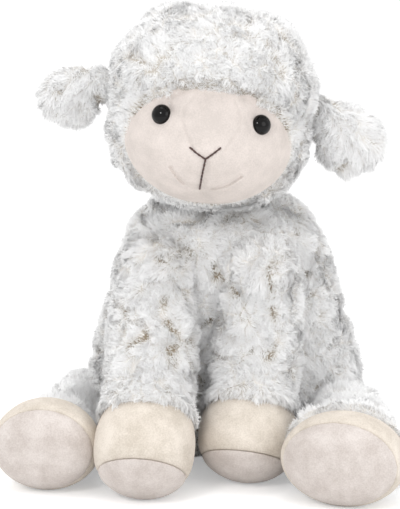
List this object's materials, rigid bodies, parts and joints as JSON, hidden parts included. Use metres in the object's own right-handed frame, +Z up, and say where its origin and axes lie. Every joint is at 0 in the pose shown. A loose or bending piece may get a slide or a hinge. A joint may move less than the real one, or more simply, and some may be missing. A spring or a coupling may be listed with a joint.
{
  "type": "plush sheep",
  "caption": "Seated plush sheep with shaggy white fur, smooth cream face and hooves, round black eyes and drooping ears; head, ears, legs and tail turn at their seams.",
  "frame": {"origin": "on the floor, on the flat of the seat, under the middle of the sheep's width", "axes": "+Z up, -Y the way the sheep faces, +X its own left"},
  "size_m": [0.24, 0.2307, 0.2787],
  "materials": {
    "white_fur": "long shaggy pile",
    "cream_velour": "short soft pile",
    "pink_velour": "short soft pile",
    "polyester_fill": "loose fibre",
    "bean_bag_cloth": "plain woven cloth",
    "black_plastic": "glossy",
    "white_plastic": "matte",
    "brown_thread": "embroidery thread"
  },
  "bodies": {
    "torso": {"body_cover": "white_fur", "body_stuffing": "polyester_fill", "seat_bean_bag": "bean_bag_cloth"},
    "head": {"head_hood": "white_fur", "face_panel": "cream_velour", "head_stuffing": "polyester_fill", "mouth_stitching": "brown_thread", "left_eye": "black_plastic", "right_eye": "black_plastic", "left_eye_washer": "white_plastic", "right_eye_washer": "white_plastic"},
    "left_ear": {"left_ear": "white_fur"},
    "right_ear": {"right_ear": "white_fur"},
    "left_front_leg": {"left_front_leg_cover": "white_fur", "left_front_leg_stuffing": "polyester_fill", "left_front_hoof": "cream_velour", "left_front_hoof_sole": "pink_velour"},
    "right_front_leg": {"right_front_leg_cover": "white_fur", "right_front_leg_stuffing": "polyester_fill", "right_front_hoof": "cream_velour", "right_front_hoof_sole": "pink_velour"},
    "left_hind_leg": {"left_hind_leg_cover": "white_fur", "left_hind_leg_stuffing": "polyester_fill", "left_hind_hoof": "cream_velour", "left_hind_hoof_sole": "pink_velour"},
    "right_hind_leg": {"right_hind_leg_cover": "white_fur", "right_hind_leg_stuffing": "polyester_fill", "right_hind_hoof": "cream_velour", "right_hind_hoof_sole": "pink_velour"},
    "tail": {"tail": "white_fur"}
  },
  "joints": [
    {"name": "head_turn", "type": "hinge", "parent": "torso", "child": "head", "pos_m": [0, -0.026, 0.218], "axis": [0, 0, 1], "range_deg": [-25, 25]},
    {"name": "left_ear_lift", "type": "hinge", "parent": "head", "child": "left_ear", "pos_m": [0.05513, -0.01719, 0.2222], "axis": [0.1045, -0.9945, 0], "range_deg": [0, 20]},
    {"name": "right_ear_lift", "type": "hinge", "parent": "head", "child": "right_ear", "pos_m": [-0.05367, -0.02863, 0.23369], "axis": [-0.1045, 0.9945, 0], "range_deg": [0, 20]},
    {"name": "left_front_leg_lift", "type": "hinge", "parent": "torso", "child": "left_front_leg", "pos_m": [0.032, -0.041, 0.121], "axis": [-1, 0, 0], "range_deg": [0, 45]},
    {"name": "right_front_leg_lift", "type": "hinge", "parent": "torso", "child": "right_front_leg", "pos_m": [-0.032, -0.041, 0.121], "axis": [-1, 0, 0], "range_deg": [0, 45]},
    {"name": "left_hind_leg_swing", "type": "hinge", "parent": "torso", "child": "left_hind_leg", "pos_m": [0.078, -0.014, 0.0275], "axis": [0, 0, 1], "range_deg": [0, 20]},
    {"name": "right_hind_leg_swing", "type": "hinge", "parent": "torso", "child": "right_hind_leg", "pos_m": [-0.078, -0.014, 0.0275], "axis": [0, 0, -1], "range_deg": [0, 20]},
    {"name": "tail_lift", "type": "hinge", "parent": "torso", "child": "tail", "pos_m": [0, 0.071, 0.046], "axis": [1, 0, 0], "range_deg": [0, 35]}
  ]
}
